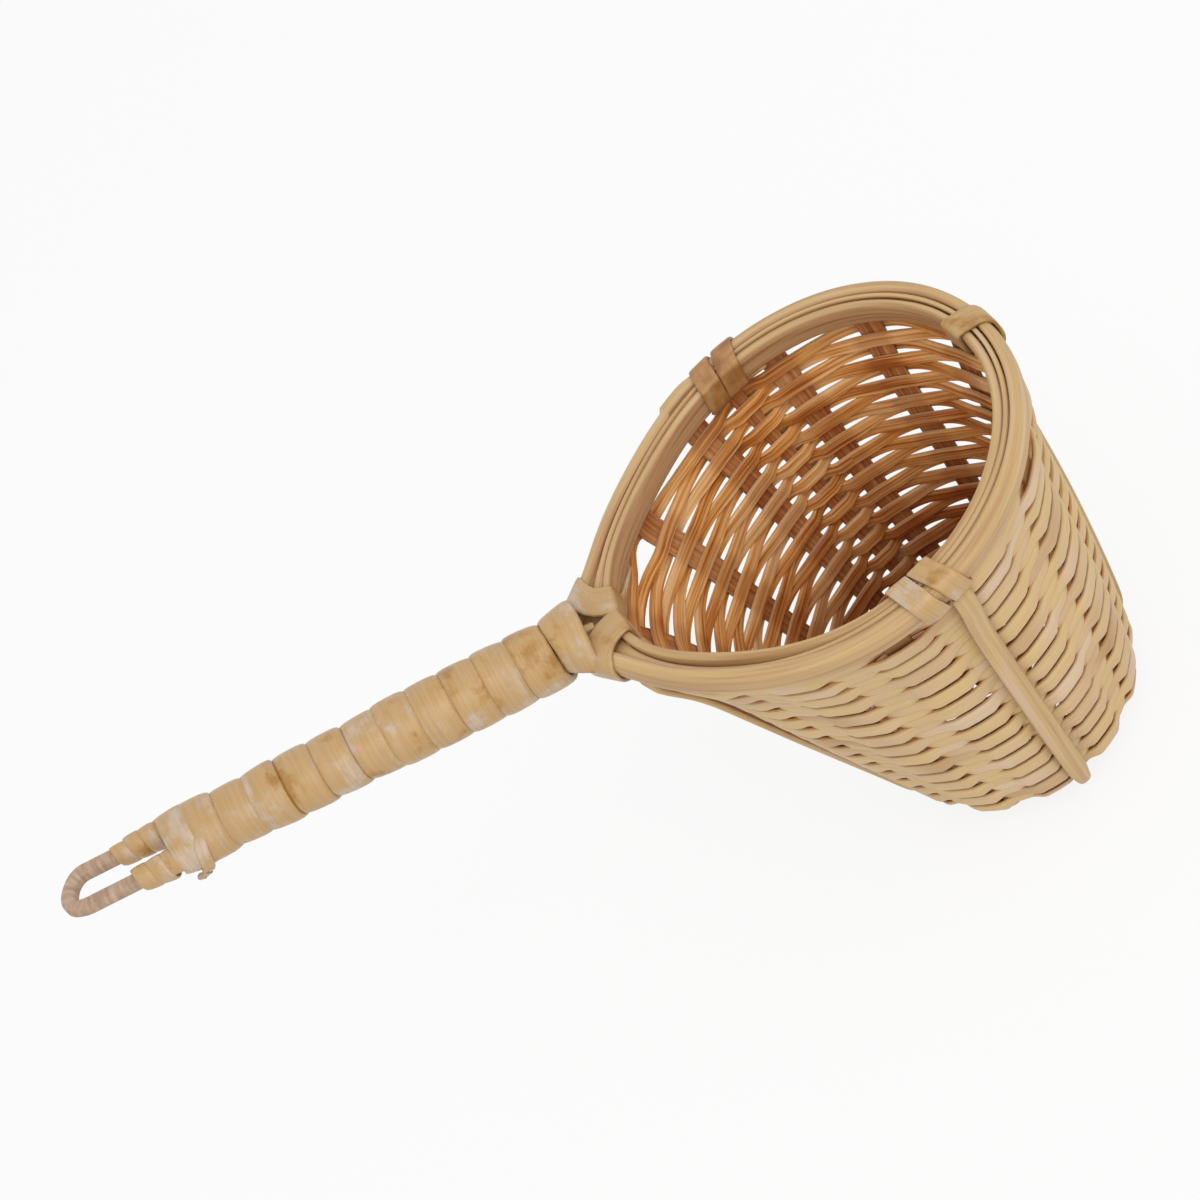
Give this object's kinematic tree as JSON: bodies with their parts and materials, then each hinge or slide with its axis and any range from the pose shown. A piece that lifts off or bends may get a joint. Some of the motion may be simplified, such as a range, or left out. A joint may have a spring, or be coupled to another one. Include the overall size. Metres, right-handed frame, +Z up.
{
  "type": "tea strainer",
  "caption": "Hand-woven bamboo tea strainer: a deep round basket in plain weave, a rim of two hoops, and a wrapped handle with a hanging loop.",
  "frame": {"origin": "on the basket's axis at the underside of the lower rib, where the strainer stands", "axes": "+Z up along the basket's axis, the handle towards -X, +Y across"},
  "size_m": [0.1749, 0.0761, 0.1],
  "materials": {
    "bamboo": "smooth split bamboo, satin",
    "amber_bamboo": "thin split bamboo, darker inside the basket",
    "wrap_strip": "flat split cane with a slight gloss",
    "cane": "dry cane, matt"
  },
  "bodies": {
    "root": {"inner_hoop": "bamboo", "outer_hoop": "bamboo", "rim_filler": "bamboo", "stake_strip_1": "amber_bamboo", "stake_strip_2": "amber_bamboo", "stake_strip_3": "amber_bamboo", "stake_strip_4": "amber_bamboo", "stake_strip_5": "amber_bamboo", "stake_strip_6": "amber_bamboo", "extra_stake": "amber_bamboo", "weaver_1": "amber_bamboo", "weaver_2": "amber_bamboo", "weaver_3": "amber_bamboo", "weaver_4": "amber_bamboo", "weaver_5": "amber_bamboo", "weaver_6": "amber_bamboo", "base_weaver_1": "amber_bamboo", "base_weaver_2": "amber_bamboo", "rib_front_back": "bamboo", "rib_side": "bamboo", "lashing_front": "wrap_strip", "lashing_right": "wrap_strip", "lashing_back": "wrap_strip", "root_strap_front": "wrap_strip", "root_strap_back": "wrap_strip", "handle_core": "bamboo", "handle_wrap": "wrap_strip", "hang_loop": "cane", "leg_wrap_front": "wrap_strip", "leg_wrap_back": "wrap_strip", "tail_binding": "wrap_strip"}
  },
  "joints": []
}
